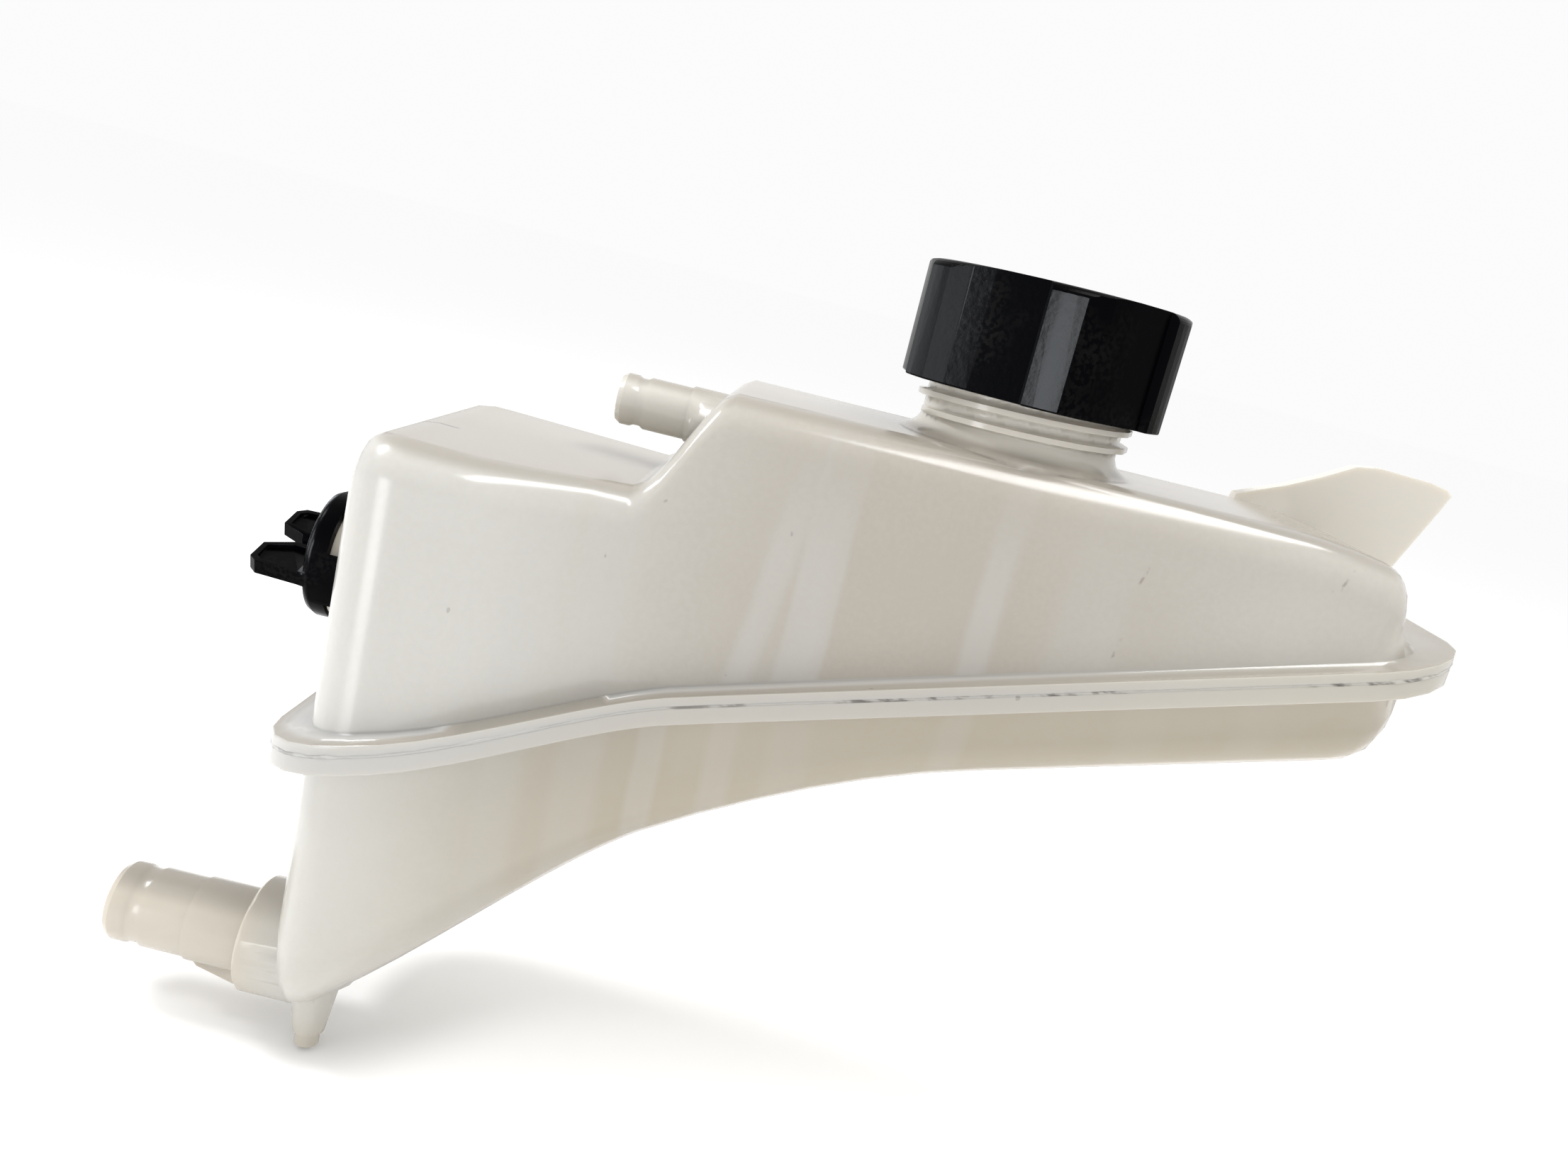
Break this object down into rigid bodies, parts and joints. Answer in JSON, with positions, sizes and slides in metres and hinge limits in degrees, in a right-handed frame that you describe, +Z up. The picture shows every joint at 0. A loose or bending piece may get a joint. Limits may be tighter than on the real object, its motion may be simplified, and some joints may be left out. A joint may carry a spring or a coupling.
{
  "type": "coolant expansion tank",
  "caption": "Translucent coolant expansion tank of two welded half shells, with a screw pressure cap, a bayonet wing plug, hose spigots and a locating peg.",
  "frame": {"origin": "centre of the locating peg's shoulder, under the sump", "axes": "+X along the tank from the sump end to the mounting ear, +Y from the front wall to the rear wall, +Z up along the filler neck"},
  "size_m": [0.3075, 0.1075, 0.22],
  "materials": {
    "milky_plastic": "satin",
    "black_plastic": "semi-gloss",
    "grey_plastic": "satin",
    "dark_rubber": "matte",
    "spring_steel": "satin"
  },
  "bodies": {
    "tank": {"upper_shell": "milky_plastic", "lower_shell": "milky_plastic"},
    "insert": {"valve_housing": "grey_plastic", "valve_cover": "grey_plastic", "rim_gasket": "dark_rubber", "housing_oring": "dark_rubber", "pressure_spring": "spring_steel"},
    "cap": {"cap_shell": "black_plastic"},
    "pressure_valve": {"pressure_plate": "grey_plastic", "pressure_seal": "dark_rubber"},
    "vacuum": {"vacuum_valve": "grey_plastic", "vacuum_seal": "dark_rubber", "vacuum_clip": "spring_steel", "vacuum_spring": "spring_steel"},
    "plug": {"wing_plug": "black_plastic", "plug_oring": "dark_rubber"}
  },
  "joints": [
    {"name": "cap_lift", "type": "slide", "parent": "tank", "child": "insert", "axis": [0, 0, 1], "range_m": [0, 0.0051]},
    {"name": "cap_turn", "type": "hinge", "parent": "insert", "child": "cap", "pos_m": [0.1345, 0.035, 0.2], "axis": [0, 0, 1], "range_deg": [0, 450]},
    {"name": "pressure_lift", "type": "slide", "parent": "insert", "child": "pressure_valve", "axis": [0, 0, 1], "range_m": [0, 0.003], "stiffness_N_per_m": 4000, "springref_m": -0.007, "deforming": ["pressure_spring"]},
    {"name": "vacuum_drop", "type": "slide", "parent": "pressure_valve", "child": "vacuum", "axis": [0, 0, -1], "range_m": [0, 0.0015], "stiffness_N_per_m": 150, "springref_m": -0.003, "deforming": ["vacuum_spring"]},
    {"name": "plug_turn", "type": "hinge", "parent": "tank", "child": "plug", "pos_m": [-0.0165, 0.03, 0.1115], "axis": [-1, 0, 0], "range_deg": [0, 40]}
  ],
  "couplings": [
    {"joint": "cap_lift", "follows": "cap_turn", "m_per_rad": 0.00063662}
  ]
}
